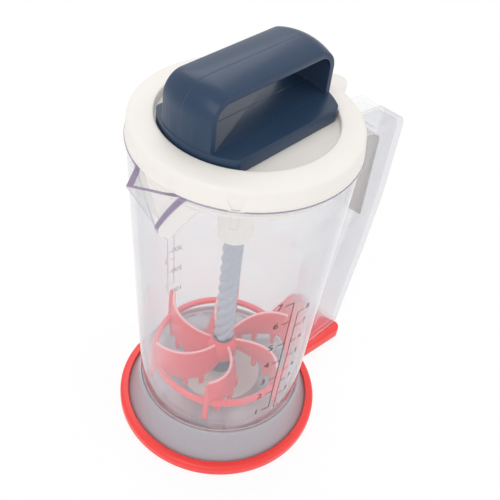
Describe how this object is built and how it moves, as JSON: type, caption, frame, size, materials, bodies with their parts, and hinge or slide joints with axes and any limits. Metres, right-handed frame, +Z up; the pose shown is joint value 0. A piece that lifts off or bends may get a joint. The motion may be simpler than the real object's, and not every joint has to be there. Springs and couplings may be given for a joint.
{
  "type": "pancake batter dispenser",
  "caption": "Clear pouring jug on a flared foot with a turning spout-gate lid and a push handle that spins a whisk on a spiral rod.",
  "frame": {"origin": "on the table at the jug's axis, in the plane of the foot's underside", "axes": "+Z up along the jug's axis, +X towards the jug handle, -X towards the pouring spout, +Y completes a right-handed frame"},
  "size_m": [0.1782, 0.1124, 0.2222],
  "materials": {
    "red_plastic": "satin moulded, red",
    "silver_plastic": "satin silver-grey coat on the foot",
    "cream_plastic": "satin moulded, off-white",
    "clear_plastic": "clear polished plastic, faint violet edges",
    "seal_rubber": "soft translucent sealing ring",
    "bush_plastic": "natural slippery plastic",
    "slate_plastic": "satin moulded, slate blue",
    "screw_steel": "zinc-plated",
    "rod_plastic": "moulded, light grey",
    "red_whisk_plastic": "moulded, red"
  },
  "bodies": {
    "jug": {"foot_ring": "red_plastic", "foot_cone": "silver_plastic", "foot_plug": "cream_plastic", "jug_body": "clear_plastic", "jug_handle": "clear_plastic"},
    "seal": {"lid_seal": "seal_rubber"},
    "lid": {"lid_cover": "cream_plastic", "spout_gate": "cream_plastic", "guide_sleeve": "cream_plastic", "top_bush": "bush_plastic", "drive_nut": "bush_plastic", "sleeve_cap": "cream_plastic"},
    "plunger": {"push_handle": "slate_plastic", "under_plate": "slate_plastic", "plate_screws": "screw_steel", "swivel_bush": "bush_plastic"},
    "rotor": {"spiral_rod": "rod_plastic", "rod_head": "screw_steel", "rod_screw": "screw_steel", "whisk": "red_whisk_plastic", "whisk_retainer": "slate_plastic"}
  },
  "joints": [
    {"name": "lid_lift", "type": "slide", "parent": "jug", "child": "seal", "axis": [0, 0, 1], "range_m": [0, 0.2]},
    {"name": "lid_turn", "type": "hinge", "parent": "seal", "child": "lid", "pos_m": [0, 0, 0.19], "axis": [0, 0, 1], "range_deg": [0, 90]},
    {"name": "handle_stroke", "type": "slide", "parent": "lid", "child": "plunger", "axis": [0, 0, 1], "range_m": [0, 0.066]},
    {"name": "whisk_spin", "type": "hinge", "parent": "plunger", "child": "rotor", "pos_m": [0, 0, 0.12], "axis": [0, 0, 1], "range_deg": [0, 849]}
  ],
  "couplings": [
    {"joint": "whisk_spin", "follows": "handle_stroke", "rad_per_m": 224.4}
  ]
}
